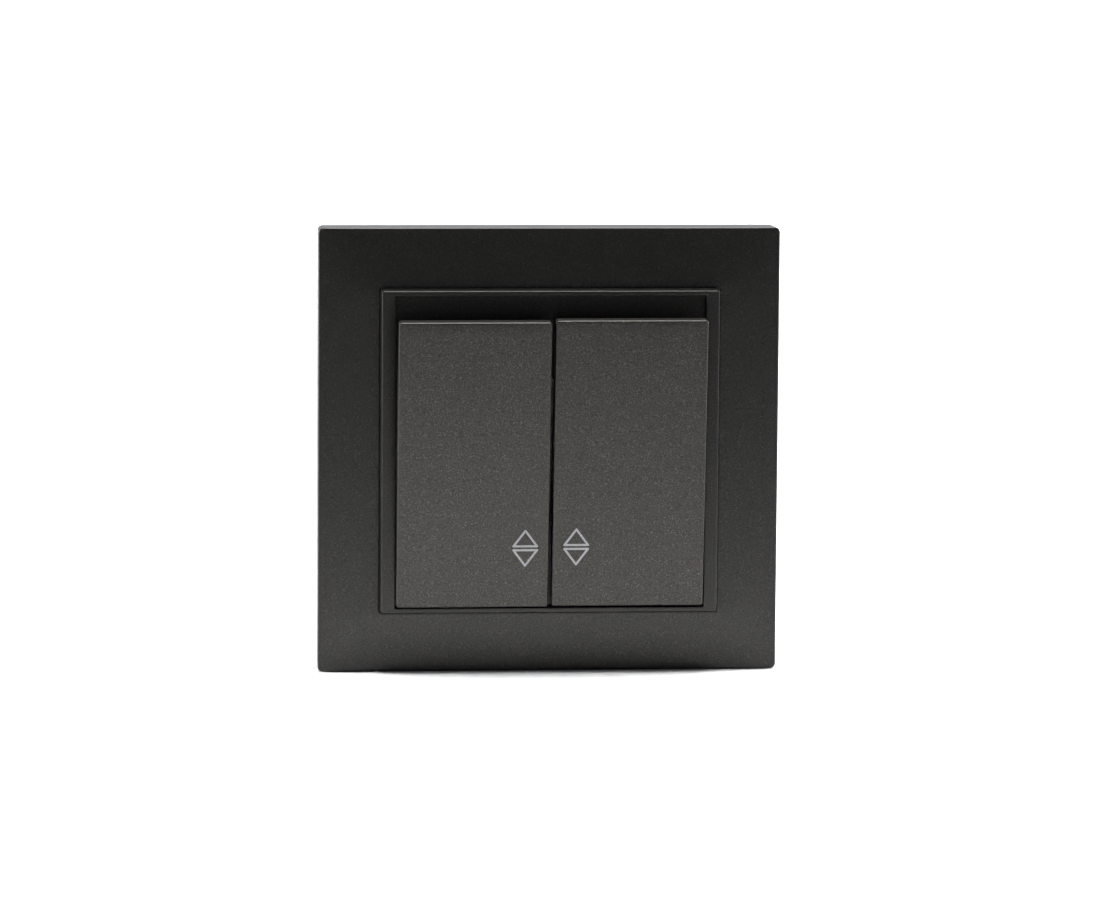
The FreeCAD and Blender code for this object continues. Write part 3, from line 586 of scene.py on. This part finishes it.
def makeCamera():
    # forward = (sin yaw cos pitch, cos yaw cos pitch, sin pitch), then rolled about itself
    v = cameraView
    yaw, pitch, roll = (math.radians(v[key]) for key in ("yaw", "pitch", "roll"))
    forward = Vector((math.sin(yaw) * math.cos(pitch), math.cos(yaw) * math.cos(pitch),
                      math.sin(pitch)))
    right = Vector((math.cos(yaw), -math.sin(yaw), 0))
    up = right.cross(forward)
    turnedRight = right * math.cos(roll) + up * math.sin(roll)
    turnedUp = up * math.cos(roll) - right * math.sin(roll)
    data = bpy.data.cameras.new("photoCamera")
    data.sensor_width = v["sensor"]
    data.lens = v["focal"] / v["imageWidth"] * v["sensor"]
    data.clip_end = v["clipEnd"]
    camera = bpy.data.objects.new("photoCamera", data)
    bpy.context.collection.objects.link(camera)
    matrix = Matrix((turnedRight, turnedUp, -forward)).transposed().to_4x4()
    matrix.translation = Vector(v["place"]) * millimetre
    camera.matrix_world = matrix
    bpy.context.scene.camera = camera


floorLook = {
    "halfSize": 6.0, "height": -0.0402,     # metres
    "colour": (0.86, 0.86, 0.86), "shade": 0.985, "scale": 9.0, "detail": 3.0,
    "ends": (0.3, 0.7), "roughness": 0.9,
}


def makeFloor():
    # a flat square whose tone drifts between colour * shade and colour
    f = floorLook
    s, z = f["halfSize"], f["height"]
    material, tree, shader = newMaterial("paleFloor")
    paper = noiseOn(tree, f["scale"], f["detail"])
    start, end = f["ends"]
    shaded = tuple(f["shade"] * value for value in f["colour"])
    tree.links.new(ramp(tree, paper, [(start, shaded), (end, f["colour"])]),
                   shader.inputs["Base Color"])
    shader.inputs["Roughness"].default_value = f["roughness"]
    mesh = bpy.data.meshes.new("floor")
    mesh.from_pydata([(-s, -s, z), (s, -s, z), (s, s, z), (-s, s, z)], [], [(0, 1, 2, 3)])
    mesh.materials.append(material)
    floor = bpy.data.objects.new("floor", mesh)
    bpy.context.collection.objects.link(floor)


lightPlan = {
    # place and aim in metres, size in metres, power in watts, spread in degrees
    "nearPool": ((0.0, -0.13, 0.45), (0.0, -0.13, 0.0), (0.28, 0.16), 0.30, 35),
    "overhead": ((0.0, 0.10, 0.45), (0.0, 0.10, 0.0), (0.5, 0.3), 0.82, 40),
    "farPool": ((0.0, 0.9, 0.9), (0.0, 0.9, 0.0), (1.6, 1.4), 19.0, 60),
    "backdrop": ((0.0, 2.4, 1.3), (0.0, 2.4, 0.0), (4.0, 2.0), 90.0, 60),
    "rimLeft": ((-0.7, 0.14, 0.14), (0.0, 0.0, 0.0), (0.2, 0.3), 0.55, 34),
    "rimRight": ((0.7, 0.14, 0.14), (0.0, 0.0, 0.0), (0.2, 0.3), 0.55, 34),
}
skyLight = {
    "colour": (0.9, 0.92, 0.95), "front": 0.17, "back": 1.0, "fadeStart": 0.1, "fadeEnd": 0.9,
}


def makeLights():
    # area lamps that look from their place at their aim
    for name, (place, aim, size, power, spread) in lightPlan.items():
        data = bpy.data.lights.new(name, "AREA")
        data.shape = "RECTANGLE"
        data.size, data.size_y = size
        data.energy = power
        data.spread = math.radians(spread)
        lamp = bpy.data.objects.new(name, data)
        bpy.context.collection.objects.link(lamp)
        lamp.location = place
        lamp.rotation_euler = (Vector(aim) - Vector(place)).to_track_quat("-Z", "Y").to_euler()


def makeSky():
    # strength = front + (back - front) * smoothstep of the direction's y over the fade, so
    # the side that the switch faces stays dim and the floor's pools shine in its lacquer
    world = bpy.data.worlds.new("studio")
    world.use_nodes = True
    tree = world.node_tree
    background = tree.nodes["Background"]
    background.inputs["Color"].default_value = (*skyLight["colour"], 1)
    direction = tree.nodes.new("ShaderNodeTexCoord")
    parts = tree.nodes.new("ShaderNodeSeparateXYZ")
    rise = tree.nodes.new("ShaderNodeMapRange")
    rise.interpolation_type = "SMOOTHSTEP"
    rise.inputs["From Min"].default_value = skyLight["fadeStart"]
    rise.inputs["From Max"].default_value = skyLight["fadeEnd"]
    rise.inputs["To Min"].default_value = skyLight["front"]
    rise.inputs["To Max"].default_value = skyLight["back"]
    tree.links.new(direction.outputs["Generated"], parts.inputs["Vector"])
    tree.links.new(parts.outputs["Y"], rise.inputs["Value"])
    tree.links.new(rise.outputs["Result"], background.inputs["Strength"])
    bpy.context.scene.world = world
    bpy.context.scene.view_settings.view_transform = "Standard"


makeCamera()
makeFloor()
makeLights()
makeSky()
print("camera, floor and light made")
